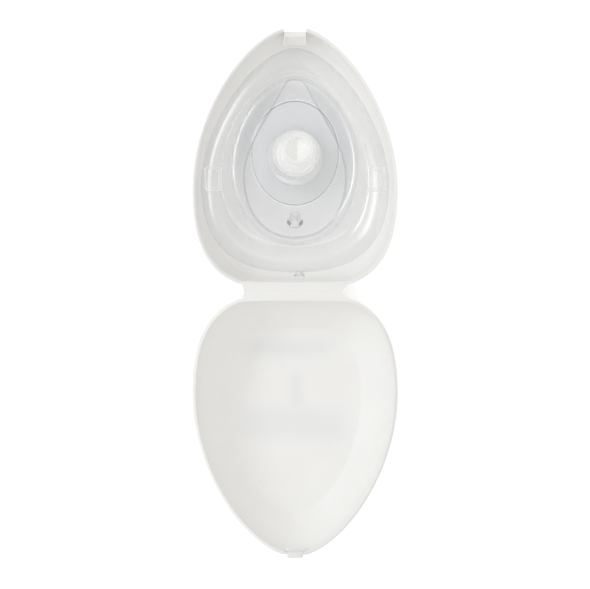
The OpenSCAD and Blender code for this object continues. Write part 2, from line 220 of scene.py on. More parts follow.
def make_piece(name, verts, faces, material, place=None, smooth=32, second=(), weld_and_shade_material=None):
    """Object from vertices in millimetres, with its normals put right and its hard edges kept."""
    mesh = bpy.data.meshes.new(name)
    mesh.from_pydata([tuple(c * MM for c in v) for v in verts], [], faces)
    for index in second:
        mesh.polygons[index].material_index = 1
    if place is not None:
        mesh.transform(place)
    bm = bmesh.new()
    bm.from_mesh(mesh)
    bmesh.ops.remove_doubles(bm, verts=bm.verts, dist=1e-6)
    bmesh.ops.recalc_face_normals(bm, faces=bm.faces)
    bm.to_mesh(mesh)
    bm.free()
    mesh.shade_smooth()
    mesh.set_sharp_from_angle(angle=math.radians(smooth))
    piece = bpy.data.objects.new(name, mesh)
    bpy.context.scene.collection.objects.link(piece)
    mesh.materials.append(material)
    if second:
        mesh.materials.append(weld_and_shade_material)
    return piece


def loft_faces(count, around, loop):
    """Quads between rings, and a flat cap on each end if the loft isn't a loop."""
    faces = []
    for r in range(count if loop else count - 1):
        a, b = r * around, ((r + 1) % count) * around
        for i in range(around):
            j = (i + 1) % around
            faces.append((a + i, a + j, b + j, b + i))
    if not loop:
        faces.append(tuple(reversed(range(around))))
        faces.append(tuple((count - 1) * around + i for i in range(around)))
    return faces


def loft(name, rings, material, place=None, loop=False, smooth=32, weld=(), weld_and_shade_material=None):
    """Loft through rings; the bands listed in weld get the second material: a real weld on the cushion,
    painted shade along the dome's crease.
    """
    verts = [v for ring in rings for v in ring]
    around = len(rings[0])
    second = {band * around + i for band in weld for i in range(around)}
    return make_piece(name, verts, loft_faces(len(rings), around, loop), material, place, smooth,
                      second, weld_and_shade_material)


def turned(name, section, material, place, around=96, smooth=32, soften=0.15):
    """Closed [radius, height] section turned round the place's Z axis, its corners softened."""
    section = fillet(section, soften) if soften else section
    rings = []
    for radius, z in section:
        angles = [2 * math.pi * i / around for i in range(around)]
        rings.append([(radius * math.cos(a), radius * math.sin(a), z) for a in angles])
    return loft(name, rings, material, place, loop=True, smooth=smooth)


def bead(outline, z, radius, material, place, around=10):
    """Round bead along a closed flat outline."""
    rings = []
    n = len(outline)
    for i, (x, y) in enumerate(outline):
        a, b = outline[i - 1], outline[(i + 1) % n]
        side = Vector((b[1] - a[1], a[0] - b[0])).normalized()
        turns = [2 * math.pi * k / around for k in range(around)]
        rings.append([(x + radius * math.cos(t) * side.x, y + radius * math.cos(t) * side.y,
                       z + radius * math.sin(t)) for t in turns])
    return loft("bead", rings, material, place, loop=True, smooth=60)


def rounded_box(x, y, width, height, radius, steps=6):
    """Closed outline of a box with rounded corners, its middle at x, y."""
    out = []
    for quarter, (sx, sy) in enumerate(((1, 1), (-1, 1), (-1, -1), (1, -1))):
        for k in range(steps + 1):
            turn = math.pi / 2 * (quarter + k / steps)
            out.append((x + sx * (width / 2 - radius) + radius * math.cos(turn),
                        y + sy * (height / 2 - radius) + radius * math.sin(turn)))
    return out


def merge(piece, others, material):
    """Adds the other pieces' meshes to this one, in this material, and removes them."""
    bm = bmesh.new()
    bm.from_mesh(piece.data)
    own = len(bm.faces)
    for other in others:
        bm.from_mesh(other.data)
        bpy.data.objects.remove(other)
    bm.faces.ensure_lookup_table()
    piece.data.materials.append(material)
    index = len(piece.data.materials) - 1
    for face in bm.faces[own:]:
        face.material_index = index
    bm.to_mesh(piece.data)
    bm.free()


def box_piece(name, low, high, place=None, soften=0.0):
    """Box between two corners, for cutting or joining."""
    bm = bmesh.new()
    bmesh.ops.create_cube(bm, size=1.0)
    size = Vector(high) - Vector(low)
    middle = (Vector(high) + Vector(low)) / 2
    for v in bm.verts:
        v.co = Vector(c * s for c, s in zip(v.co, size)) + middle
    if soften:
        bmesh.ops.bevel(bm, geom=bm.edges[:], offset=soften, segments=3, profile=0.5, affect="EDGES")
    mesh = bpy.data.meshes.new(name)
    bm.to_mesh(mesh)
    bm.free()
    mesh.transform(Matrix.Scale(MM, 4))
    if place is not None:
        mesh.transform(place)
        if place.determinant() < 0:
            mesh.flip_normals()
    piece = bpy.data.objects.new(name, mesh)
    bpy.context.scene.collection.objects.link(piece)
    return piece


def carve(piece, tools, smooth=32):
    """Applies each (operation, tool) boolean to the piece and removes the tools."""
    for operation, tool in tools:
        mod = piece.modifiers.new("carve", "BOOLEAN")
        mod.operation = operation
        mod.solver = "EXACT"
        mod.object = tool
        bpy.context.view_layer.update()
        graph = bpy.context.evaluated_depsgraph_get()
        done = bpy.data.meshes.new_from_object(piece.evaluated_get(graph))
        piece.modifiers.clear()
        old = piece.data
        piece.data = done
        done.name = piece.name
        bpy.data.meshes.remove(old)
        bpy.data.objects.remove(tool)
    material = piece.data.materials[0]
    piece.data.materials.clear()
    piece.data.materials.append(material)
    bm = bmesh.new()
    bm.from_mesh(piece.data)
    bmesh.ops.dissolve_degenerate(bm, edges=bm.edges[:], dist=1e-6)
    bm.to_mesh(piece.data)
    bm.free()
    piece.data.polygons.foreach_set("material_index", [0] * len(piece.data.polygons))
    piece.data.shade_smooth()
    piece.data.set_sharp_from_angle(angle=math.radians(smooth))


# --- Materials ---------------------------------------------------------------------------------------
class Nodes:
    """Small helper for building one material's node tree."""

    def __init__(self, name):
        self.material = bpy.data.materials.new(name)
        self.material.use_nodes = True
        self.tree = self.material.node_tree
        self.shader = self.tree.nodes["Principled BSDF"]

    def add(self, kind, **values):
        node = self.tree.nodes.new(kind)
        for key, value in values.items():
            setattr(node, key, value)
        return node

    def link(self, source, target):
        self.tree.links.new(source, target)

    def set(self, **values):
        for key, value in values.items():
            self.shader.inputs[key.replace("_", " ")].default_value = value

    def coords(self):
        return self.add("ShaderNodeTexCoord").outputs["Object"]

    def noise(self, per_m, detail=2.0, roughness=0.5):
        node = self.add("ShaderNodeTexNoise")
        node.inputs["Scale"].default_value = per_m
        node.inputs["Detail"].default_value = detail
        node.inputs["Roughness"].default_value = roughness
        self.link(self.coords(), node.inputs["Vector"])
        return node.outputs["Fac"]

    def ramp(self, source, low, high, start=0.3, end=0.7):
        node = self.add("ShaderNodeValToRGB")
        node.color_ramp.elements[0].position = start
        node.color_ramp.elements[1].position = end
        node.color_ramp.elements[0].color = (*low, 1)
        node.color_ramp.elements[1].color = (*high, 1)
        self.link(source, node.inputs["Fac"])
        return node.outputs["Color"]

    def span(self, source, low, high, start=0.0, end=1.0):
        node = self.add("ShaderNodeMapRange")
        for key, value in (("From Min", start), ("From Max", end), ("To Min", low), ("To Max", high)):
            node.inputs[key].default_value = value
        self.link(source, node.inputs["Value"])
        return node.outputs["Result"]

    def bump(self, source, strength, distance=0.0002):
        node = self.add("ShaderNodeBump")
        node.inputs["Strength"].default_value = strength
        node.inputs["Distance"].default_value = distance
        self.link(source, node.inputs["Height"])
        self.link(node.outputs["Normal"], self.shader.inputs["Normal"])
        return node.outputs["Normal"]


def moulded_white(name, light, dark, roughness=0.55):
    """Moulded off-white polypropylene: a fine satin skin with faint flow clouds."""
    n = Nodes(name)
    clouds = n.noise(38, 3.0)
    n.link(n.ramp(clouds, dark, light), n.shader.inputs["Base Color"])
    n.link(n.span(n.noise(900, 2.0), roughness - 0.05, roughness + 0.07), n.shader.inputs["Roughness"])
    n.bump(n.noise(2600, 2.0), 0.05, 0.0001)
    n.set(IOR=1.49, Specular_IOR_Level=0.3)
    return n.material


def clear_plastic(name, tint, facing, edge, power, shine=0.08, rough=0.3, cloud=0.02, ripple=0.05,
                  ripple_per_m=90, mirror=0.05):
    """Clear plastic: see-through face on, denser where the sheet is seen edge on, with a gloss over it."""
    n = Nodes(name)
    weight = n.add("ShaderNodeLayerWeight")
    weight.inputs["Blend"].default_value = 0.5
    curve = n.add("ShaderNodeMath", operation="POWER")
    n.link(weight.outputs["Facing"], curve.inputs[0])
    curve.inputs[1].default_value = power
    dense = n.span(curve.outputs[0], facing, edge)
    add = n.add("ShaderNodeMath", operation="ADD", use_clamp=True)
    n.link(dense, add.inputs[0])
    n.link(n.span(n.noise(60, 3.0), -cloud, cloud, 0.3, 0.7), add.inputs[1])
    n.link(add.outputs[0], n.shader.inputs["Alpha"])
    n.link(n.ramp(n.noise(45, 2.0), [c * 0.96 for c in tint], tint), n.shader.inputs["Base Color"])
    n.link(n.span(n.noise(300, 2.0), rough * 0.8, rough * 1.3), n.shader.inputs["Roughness"])
    normal = n.bump(n.noise(ripple_per_m, 2.0, 0.4), ripple, 0.0012)
    n.shader.inputs["Specular IOR Level"].default_value = 0.0
    gloss = n.add("ShaderNodeBsdfGlossy")
    gloss.inputs["Color"].default_value = (1, 1, 1, 1)
    gloss.inputs["Roughness"].default_value = shine
    n.link(normal, gloss.inputs["Normal"])
    grazing = n.add("ShaderNodeMath", operation="POWER")
    n.link(weight.outputs["Facing"], grazing.inputs[0])
    grazing.inputs[1].default_value = 5.0
    layers = n.add("ShaderNodeMixShader")
    n.link(n.span(grazing.outputs[0], mirror, 0.6), layers.inputs[0])
    n.link(n.shader.outputs[0], layers.inputs[1])
    n.link(gloss.outputs[0], layers.inputs[2])
    n.link(layers.outputs[0], n.tree.nodes["Material Output"].inputs["Surface"])
    return n.material


case_white = moulded_white("case_white", (0.898, 0.897, 0.892), (0.874, 0.873, 0.867))
# painted shade: the case's off-white made darker for the latch tab, so the tab reads greyer
tongue_shaded_white = moulded_white("tongue_shaded_white", (0.84, 0.84, 0.835), (0.81, 0.81, 0.805), 0.38)
dome_vinyl = clear_plastic("dome_vinyl", (0.52, 0.55, 0.585), 0.06, 0.75, 3.6, shine=0.12)
crown_vinyl = clear_plastic("crown_vinyl", (0.50, 0.54, 0.61), 0.19, 0.75, 4.0, shine=0.34,
                            mirror=0.003)
fold_vinyl = clear_plastic("fold_vinyl", (0.61, 0.64, 0.685), 0.17, 0.64, 4.6, shine=0.24, mirror=0.055)
# painted shade: a dark band for the line along the dome's crease, where the folded sheet is seen edge on
crease_shade_vinyl = clear_plastic("crease_shade_vinyl", (0.22, 0.28, 0.345), 0.42, 0.88, 2.5, shine=0.2)
cushion_film = clear_plastic("cushion_film", (0.60, 0.615, 0.64), 0.13, 0.36, 2.4, shine=0.24,
                             ripple=0.14, ripple_per_m=60)
film_weld = clear_plastic("film_weld", (0.22, 0.28, 0.345), 0.38, 0.85, 2.5, shine=0.2)
lug_frost = clear_plastic("lug_frost", (0.86, 0.87, 0.88), 0.18, 0.60, 2.4, shine=0.3)
clear_rigid = clear_plastic("clear_rigid", (0.66, 0.68, 0.70), 0.05, 0.75, 3.0, shine=0.08,
                            ripple=0.02)
nipple_clear = clear_plastic("nipple_clear", (0.34, 0.37, 0.39), 0.03, 0.75, 4.0, shine=0.06, ripple=0.02)
# painted shade: dark clear plastic for the marks at the nipple boss's lower corners, where the light is
# bent away
nipple_painted_shade = clear_plastic("nipple_painted_shade", (0.10, 0.12, 0.13), 0.55, 0.85, 1.5, shine=0.06, ripple=0.02)
plug_clear = clear_plastic("plug_clear", (0.20, 0.23, 0.26), 0.08, 0.95, 1.6, shine=0.06, ripple=0.02)
valve_clear = clear_plastic("valve_clear", (0.93, 0.935, 0.94), 0.30, 0.70, 2.0, shine=0.08,
                            ripple=0.03)


def silicone_material(name, alpha):
    """Milky silicone with a soft sheen."""
    n = Nodes(name)
    n.link(n.ramp(n.noise(400, 2.0), (0.86, 0.865, 0.86), (0.93, 0.93, 0.925)),
           n.shader.inputs["Base Color"])
    n.link(n.span(n.noise(700, 2.0), 0.32, 0.5), n.shader.inputs["Roughness"])
    n.bump(n.noise(1500, 2.0), 0.08, 0.0001)
    n.set(Alpha=alpha, Specular_IOR_Level=0.1)
    return n.material


def filter_material():
    """White non-woven sheet: fine crossed fibres."""
    n = Nodes("filter_fabric")
    fibres = n.add("ShaderNodeTexWave", wave_type="BANDS", bands_direction="DIAGONAL")
    fibres.inputs["Scale"].default_value = 900
    fibres.inputs["Distortion"].default_value = 14
    fibres.inputs["Detail"].default_value = 3
    n.link(n.coords(), fibres.inputs["Vector"])
    n.link(n.ramp(fibres.outputs["Fac"], (0.90, 0.90, 0.89), (0.97, 0.97, 0.96)),
           n.shader.inputs["Base Color"])
    n.bump(fibres.outputs["Fac"], 0.25, 0.0001)
    n.set(Roughness=0.9)
    return n.material


def label_material():
    """Blank matt label stock with a faint paper grain."""
    n = Nodes("label_stock")
    n.link(n.ramp(n.noise(1200, 4.0), (0.84, 0.85, 0.86), (0.88, 0.89, 0.90)),
           n.shader.inputs["Base Color"])
    n.bump(n.noise(1800, 3.0), 0.1, 0.0001)
    n.set(Roughness=0.7)
    return n.material


silicone_white = silicone_material("silicone_white", 0.9)
milky_silicone = silicone_material("milky_silicone", 0.6)
filter_fabric = filter_material()
label_stock = label_material()


# --- Case --------------------------------------------------------------------------------------------
def tray_in(depth):
    """How far the tray's outer wall is drawn in at this depth under the rim."""
    u = max(depth - BEAD_H, 0) / (HALF_DEPTH - BEAD_H)
    return TRAY_CURVE * (1 - math.sqrt(max(1 - u * u, 0)))


def tray_point(depth, thick):
    """Profile point of the tray: insets at side, hinge and nose, and height."""
    f = tray_in(depth)
    return (f + thick, 0.4 * f + thick, 1.1 * f + thick, HALF_DEPTH - depth)


def rim_point(inward, z):
    return (inward, inward, inward, z)


def build_tray():
    count = 22
    deep = HALF_DEPTH - BEAD_H
    depths = [deep - deep * math.cos(math.pi / 2 * k / count) for k in range(count + 1)]
    outer = [tray_point(BEAD_H + d, BEAD) for d in reversed(depths)]
    rabbet, rabbet_h = 1.15, 1.5
    start = 5.2                # depth at which the inside of the wall starts
    rim = [rim_point(BEAD, HALF_DEPTH - BEAD_H), rim_point(0, HALF_DEPTH - BEAD_H),
           rim_point(0, RIM_Z), rim_point(rabbet, RIM_Z), rim_point(rabbet, RIM_Z - rabbet_h),
           rim_point(RIM_W, RIM_Z - rabbet_h), tray_point(start, RIM_W)]
    rim = fillet(rim, 0.35, 3, loop=False)
    last = HALF_DEPTH - FLOOR_T
    inner = [tray_point(start + (last - start) * math.sin(math.pi / 2 * k / count), RIM_W)
             for k in range(1, count)]
    # the inside turns into the floor with a radius
    end = tray_point(last, RIM_W)
    foot = [(end[0] + r, end[1] + r, end[2] + r, FLOOR_T) for r in (0.0, 2.0, 6.0)]
    inner = [p for p in inner if p[3] > FLOOR_T + 0.15] + foot
    profile = outer + rim[1:] + inner
    rings = [lift(inset(*p[:3]), p[3]) for p in profile]
    tray = loft("tray_body", rings, case_white, TRAY_PLACE)
    half = NOTCH_W / 2
    block_in, bar_in = 132.4, 136.8
    block = box_piece("block", (-half, block_in, 9), (half, 141, BAR_TOP), TRAY_PLACE)
    # the block falls away behind the bar
    before = block_in - 2.4
    slope = [(before, BAR_TOP - 9), (bar_in, BAR_TOP - 0.8), (bar_in, ABOVE_RIM), (before, ABOVE_RIM)]
    ends = (-half + 0.5, half - 0.5)
    behind = loft("behind", [[(x, y, z) for y, z in slope] for x in ends], case_white, TRAY_PLACE)
    notch = box_piece("notch", (-half, before, BAR_TOP), (half, PAST_NOSE, ABOVE_RIM), TRAY_PLACE)
    recess = box_piece("recess", (-half, RECESS_Y, 4), (half, PAST_NOSE, ABOVE_RIM), TRAY_PLACE)
    hook_room = TONGUE_W / 2 + 0.6
    groove = box_piece("groove", (-hook_room, RECESS_Y - 1, BAR_TOP - HOOK_UP),
                       (hook_room, RECESS_Y + 1, BAR_TOP - BAR_H), TRAY_PLACE)
    flat = box_piece("flat", (-20, NOSE_FLAT, -1), (20, PAST_NOSE, ABOVE_RIM), TRAY_PLACE)
    carve(tray, [("UNION", block), ("DIFFERENCE", behind), ("DIFFERENCE", notch),
                 ("DIFFERENCE", recess), ("DIFFERENCE", groove), ("DIFFERENCE", flat)])
    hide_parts("tray_shell")
    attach(tray, "tray")


def build_lid():
    wall = [(BEAD, BEAD_H), (BEAD + 0.6, 13), (LID_FLOOR_INSET * 0.5, 17),
            (LID_FLOOR_INSET, HALF_DEPTH)]

    def point(p, thick):
        return (p[0] + thick, LID_HINGE_K * p[0] + thick, LID_NOSE_K * p[0] + thick, HALF_DEPTH - p[1])

    count = 28
    steps = [bez(wall, k / count) for k in range(count + 1)]
    outer = [point(steps[k], 0) for k in range(count, 0, -1)]
    lip_out, lip_in, lip_h = 1.35, 2.0, 1.2
    rim = [point(wall[0], 0), rim_point(0, HALF_DEPTH - BEAD_H), rim_point(0, RIM_Z),
           rim_point(lip_out, RIM_Z), rim_point(lip_out, RIM_Z + lip_h),
           rim_point(lip_in, RIM_Z + lip_h), point((BEAD, BEAD_H + 1), WALL)]
    rim = fillet(rim, 0.35, 3, loop=False)
    inner = [point(steps[k], WALL - 0.5 * k / count) for k in range(2, count - 2)]
    inner = [p for p in inner if p[3] > FLOOR_T + 0.2]
    end = point(steps[count - 2], WALL - 0.4)
    foot = [(end[0] + r, end[1] + r, end[2] + r, FLOOR_T) for r in (0.5, 1.3)]
    profile = outer + rim + inner + foot
    rings = [lift(inset(*p[:3]), p[3]) for p in profile]
    lid = loft("lid_body", rings, lid_white, LID_PLACE)
    seat_in = LID_FLOOR_INSET + 4
    seat_outline = inset(seat_in, LID_HINGE_K * seat_in, LID_NOSE_K * seat_in)
    label_recess = 0.25
    seat = loft("seat", [lift(seat_outline, -0.5), lift(seat_outline, label_recess)], case_white, LID_PLACE)
    half = TONGUE_W / 2
    low = ROOT_Z - ROOT_R
    back = box_piece("back", (-half - 1, RECESS_Y - 2.2, low - 1.2), (half + 1, RECESS_Y, HALF_DEPTH),
                     LID_PLACE, 0.3)
    gap = box_piece("gap", (-half - 0.15, RECESS_Y, low - 0.2), (half + 0.15, PAST_NOSE, ABOVE_RIM),
                    LID_PLACE)
    flat = box_piece("flat", (-20, NOSE_FLAT, -1), (20, PAST_NOSE, ABOVE_RIM), LID_PLACE)
    carve(lid, [("DIFFERENCE", seat), ("UNION", back), ("DIFFERENCE", gap), ("DIFFERENCE", flat)])
    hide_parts("lid_shell")
    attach(lid, "lid")


def lid_material():
    """The case's plastic, with the label's blank print panels showing through the floor."""
    n = Nodes("lid_white")
    base = n.ramp(n.noise(38, 3.0), (0.880, 0.879, 0.872), (0.905, 0.904, 0.898))
    split = n.add("ShaderNodeSeparateXYZ")
    n.link(n.coords(), split.inputs[0])

    def band(axis, middle, half, soft):
        away = n.add("ShaderNodeMath", operation="SUBTRACT")
        n.link(split.outputs[axis], away.inputs[0])
        away.inputs[1].default_value = middle
        size = n.add("ShaderNodeMath", operation="ABSOLUTE")
        n.link(away.outputs[0], size.inputs[0])
        return n.span(size.outputs[0], 1.0, 0.0, half - soft, half + soft)

    def both(a, b, operation="MULTIPLY"):
        node = n.add("ShaderNodeMath", operation=operation)
        n.link(a, node.inputs[0])
        n.link(b, node.inputs[1])
        return node.outputs[0]

    upper = both(band("X", -0.003, 0.023, 0.004), band("Y", -0.0315, 0.0045, 0.003))
    lower = both(band("X", 0.001, 0.028, 0.006), band("Y", -0.0730, 0.0085, 0.005))
    middle = both(band("X", 0.001, 0.004, 0.003), band("Y", -0.0545, 0.010, 0.004))
    shade = both(both(upper, lower, "MAXIMUM"), middle, "MAXIMUM")
    low = band("Z", 0.0, 0.003, 0.001)
    amount = both(n.span(shade, 0.0, 0.11), low)
    mix = n.add("ShaderNodeMix", data_type="RGBA")
    n.link(amount, mix.inputs["Factor"])
    n.link(base, mix.inputs[6])
    mix.inputs[7].default_value = (0.45, 0.52, 0.62, 1)
    n.link(mix.outputs[2], n.shader.inputs["Base Color"])
    n.link(n.span(n.noise(900, 2.0), 0.5, 0.62), n.shader.inputs["Roughness"])
    n.bump(n.noise(2600, 2.0), 0.05, 0.0001)
    n.set(IOR=1.49, Specular_IOR_Level=0.3)
    return n.material


lid_white = lid_material()


def build_hinge():
    """One moulded strip over both leaves, thinned to a web on the fold line."""
    # rows across the strip, closer together at the fold line
    rows = [-LEAF - 0.8, -LEAF, -2.7, -2.1, -1.6, -1.1, -0.8, -0.55, -0.35, -0.18, 0.0]
    rows += [-y for y in reversed(rows[:-1])]
    across = 48
    thick, web = 1.2, 0.34
    verts, count = [], 2 * (across + 1)
    for y in rows:
        share = min(abs(y) / LEAF, 1.0)
        left = -LEAF_HALF + NOTCH_LEFT * (1 - share)
        right = LEAF_HALF - NOTCH_RIGHT * (1 - share)
        groove = max(0.0, 1 - abs(y) / 0.8)
        top = RIM_Z - 0.3 - 0.25 * groove
        bottom = RIM_Z - thick + (thick - 0.55 - web) * groove
        xs = [left + (right - left) * i / across for i in range(across + 1)]
        verts += [(x, y, top) for x in xs]
        verts += [(x, y, bottom) for x in reversed(xs)]
    hinge = make_piece("hinge_strip", verts, loft_faces(len(rows), count, False), case_white, smooth=25)
    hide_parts("hinge_film")
    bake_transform(hinge)


def build_tongue():
    """Latch tongue: a bending strip with a rounded tip and a sloping hook."""
    inner, outer = RECESS_Y + 0.3, NOSE_FLAT
    low = ROOT_Z - 0.6
    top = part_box("latch_tongue")[1].z / MM
    hook_z = HALF_DEPTH + HOOK_UP
    lip = outer + 1.3
    hook = inner - 0.8
    side = [(outer, low), (outer, top - 2.4), (lip, top - 1.9), (lip, top), (inner + 0.1, top - 0.1),
            (hook, hook_z + 1.2), (hook, hook_z), (inner, hook_z), (inner, low)]
    side = fillet(side, 0.35, 3)
    slices = 15
    rings = []
    for i in range(slices + 1):
        x = -TONGUE_W / 2 + TONGUE_W * i / slices
        edge = min(i, slices - i) * TONGUE_W / slices
        drop = max(0.0, 1.2 - edge) ** 2 * 0.9
        rings.append([(x, y, z - drop * max(0.0, (z - hook_z) / (top - hook_z))) for y, z in side])
    tongue = loft("latch_tab", rings, tongue_shaded_white, LID_PLACE)
    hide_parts("latch_tongue")
    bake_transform(tongue)


# --- Mask --------------------------------------------------------------------------------------------
CUSHION_OUT = egg(51.9, 55, 6.6, 130.2, 0.63, 0.73, 0.42, 0.44)
CUSHION_IN = closed(stretch([(0, 26.4), (17, 26.4), (27.8, 40), (27.8, 60)])
                    + stretch([(27.8, 60), (27.8, 73), (18, 88), (11.3, 99.5)])
                    + stretch([(11.3, 99.5), (4.8, 111), (5.4, 113), (0, 113)]), 113)
FLANGE_OUT = egg(41, 60, 19.8, 118.3, 0.63, 0.66, 0.44, 0.51)
FOOT = egg(35.7, 64, 21.2, 114.2, 0.56, 0.56, 0.47, 0.52)
CREST = egg(32.9, 64, 24.2, 111, 0.56, 0.56, 0.47, 0.52)
CREASE = egg(24.5, 72.5, 43.1, 101.9, 0.56, 0.56, 0.55, 0.55)

CUSHION_CURVES = [
    [(1, 0.58), (1, 0.88), (0.82, 1), (0.58, 1)],
    [(0.58, 1), (0.46, 1), (0.14, 0.4), (0, 0.14)],
    [(0, 0.14), (-0.02, 0.05), (0.1, 0), (0.28, 0)],
    [(0.28, 0), (0.36, 0), (0.44, 0), (0.52, 0)],
    [(0.52, 0), (0.72, 0), (1, 0.3), (1, 0.58)]]


def build_cushion():
    """Air cushion: a tight film bag with soft waves and a weld line low on its inner side."""
    section = []
    for curve in CUSHION_CURVES:
        section += [bez(curve, k / 9) for k in range(9)]
    # soft waves of the film: height, number round the bag, start and twist
    waves = [(0.22, 5, 0.6, 0), (0.16, 11, 2.1, 0), (0.10, 23, 1.3, 2)]
    sag = 0.35
    rings = []
    around = len(CUSHION_OUT)
    for share, height in section:
        top = max(0.0, height - 0.3)
        flat = between(CUSHION_IN, CUSHION_OUT, share, CUSHION_BASE + CUSHION_H * height - sag * top)
        ring = []
        for i, (x, y, z) in enumerate(flat):
            turn = 2 * math.pi * i / around
            wave = sum(h * math.sin(n * turn + start + twist * share) for h, n, start, twist in waves)
            ring.append((x, y, z + 0.6 * wave * top * (1 - 0.4 * share)))
        rings.append(ring)
    weld = [k for k, (share, height) in enumerate(section) if share < 0.045 and height < 0.2]
    cushion = loft("cushion_bag", rings, cushion_film, MASK_PLACE, loop=True, smooth=60,
                   weld=weld, weld_and_shade_material=film_weld)
    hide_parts("face_cushion")
    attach(cushion, "mask")


def ring_plate(outer, hole, low, high, soften):
    """Flat ring between two outlines with the same number of points, its edges rounded."""
    section = [(1, low), (1, high), (0, high), (0, low)]
    width = 8.0
    section = fillet([(s * width, z) for s, z in section], soften, 3)
    return [between(hole, outer, s / width, z) for s, z in section]


def build_flange():
    """Clear ring round the dome's foot, with a slotted lug at each side."""
    top = FLANGE_Z + FLANGE_T
    hole = shrunk(FOOT, 0.955, 0.965, 67.7)
    flange = loft("flange_ring", ring_plate(FLANGE_OUT, hole, FLANGE_Z, top, 0.35), clear_rigid,
                  MASK_PLACE, loop=True)
    slot_w, slot_len = 4.6, 9.4
    tools = []
    for side in (-1, 1):
        ends = sorted((side * 36.0, side * LUG_END))
        lug = box_piece("lug", (ends[0], LUG_Y - LUG_W / 2, FLANGE_Z), (ends[1], LUG_Y + LUG_W / 2, top),
                        MASK_PLACE, 0.5)
        slot = box_piece("slot", (side * SLOT_X - slot_w / 2, LUG_Y - slot_len / 2, FLANGE_Z - 2),
                         (side * SLOT_X + slot_w / 2, LUG_Y + slot_len / 2, FLANGE_Z + 4), MASK_PLACE)
        tools += [("UNION", lug), ("DIFFERENCE", slot)]
    carve(flange, tools)
    rim_bead = bead(shrunk(FLANGE_OUT, 0.987, 0.988, 68), top, 0.45, clear_rigid, MASK_PLACE)
    frames = []
    for side in (-1, 1):
        for outline in (rounded_box(side * SLOT_X, LUG_Y, slot_w + 0.8, slot_len + 0.8, 1.3),
                        rounded_box(side * (SLOT_X + 0.4), LUG_Y, slot_w + 3.8, slot_len + 4, 2.6)):
            frames.append(bead(outline, top, 0.4, lug_frost, MASK_PLACE))
    merge(flange, [rim_bead], clear_rigid)
    merge(flange, frames, lug_frost)
    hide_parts("strap_flange")
    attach(flange, "mask")


def sheet_rings(a, b, profile, way, upright):
    """Closed loop of rings: a sheet from outline a to outline b along [share, height] points."""
    n = len(profile)
    outer, inner = [], []
    for k, (share, z) in enumerate(profile):
        p, q = profile[max(k - 1, 0)], profile[min(k + 1, n - 1)]
        along = Vector(((q[0] - p[0]) * way, q[1] - p[1])).normalized()
        if k == upright:
            along = Vector((1, 0))
        outer.append(between(a, b, share, z))
        inner.append(between(a, b, share + SHEET * along.y / way, z - SHEET * along.x))
    return outer + inner[::-1]


def smooth_profile(points, per=5):
    """Catmull-Rom curve through [share, height] points."""
    out = []
    for i in range(len(points) - 1):
        p0, p1 = points[max(i - 1, 0)], points[i]
        p2, p3 = points[i + 1], points[min(i + 2, len(points) - 1)]
        for k in range(per):
            t = k / per
            out.append(tuple(0.5 * (2 * b + (c - a) * t + (2 * a - 5 * b + 4 * c - d) * t * t
                                    + (3 * b - a - 3 * c + d) * t ** 3)
                             for a, b, c, d in zip(p0, p1, p2, p3)))
    return out + [points[-1]]


def build_dome():
    """The dome's three stretches: the standing wall, the wall that turns over, and the top."""
    skirt_z = FLANGE_Z + FLANGE_T + 0.05
    points = [(0, skirt_z + 0.4), (0.1, skirt_z + 1.3), (0.26, skirt_z + 2.4),
              (0.52, CREST_Z - 0.5), (1, CREST_Z)]
    profile = smooth_profile(points)
    skirt = loft("dome_wall", sheet_rings(FOOT, CREST, profile, 3, len(profile) - 1), dome_vinyl,
                 MASK_PLACE, loop=True, smooth=50)
    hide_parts("dome_skirt")
    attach(skirt, "mask")

    points = [(0.02, CREST_Z), (0.14, CREST_Z - 0.5), (0.26, CREST_Z - 2), (0.42, CREST_Z - 4.8),
              (0.6, CREST_Z - 8.4), (0.8, CREASE_Z + 3.2), (0.92, CREASE_Z + 1), (0.985, CREASE_Z)]
    fold = loft("dome_roll", sheet_rings(CREST, CREASE, smooth_profile(points), 12, 0), fold_vinyl,
                MASK_PLACE, loop=True, smooth=50)
    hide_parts("dome_fold")
    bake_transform(fold)

    place = port_place_mm()
    round_pull = 0.5523        # pull that makes a Bezier quarter round
    circle = egg(COLLAR_R, 0, -COLLAR_R, COLLAR_R, *[round_pull] * 4)
    hole_k = HOLE_R / COLLAR_R
    ring = [tuple(place @ Vector((x, y, 0))) for x, y in circle]
    hole = [tuple(place @ Vector((x * hole_k, y * hole_k, 0))) for x, y in circle]
    edge = lift(shrunk(CREASE, 0.985, 0.985, 72.5), CREASE_Z - 0.2)

    def mix(f):
        bulge = 0.9 * f * (1 - f)
        return [tuple(p[c] * (1 - f) + q[c] * f + (bulge if c == 2 else 0) for c in range(3))
                for p, q in zip(edge, ring)]

    down = Vector((0, 0, SHEET))
    band = 0.045               # share of the way that the painted dark line along the crease takes
    upper = [mix(0), mix(band)] + [mix(k / 12) for k in range(1, 12)] + [ring, hole]
    lower = [[tuple(Vector(v) - down) for v in r] for r in reversed(upper)]
    last = len(upper) + len(lower) - 1
    # the bands along the crease get painted shade: a dark line where the folded sheet is seen edge on
    top = loft("dome_top", upper + lower, crown_vinyl, MASK_PLACE, loop=True, smooth=50,
               weld=(0, last - 1, last), weld_and_shade_material=crease_shade_vinyl)
    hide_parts("dome_crown")
    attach(top, "crown")


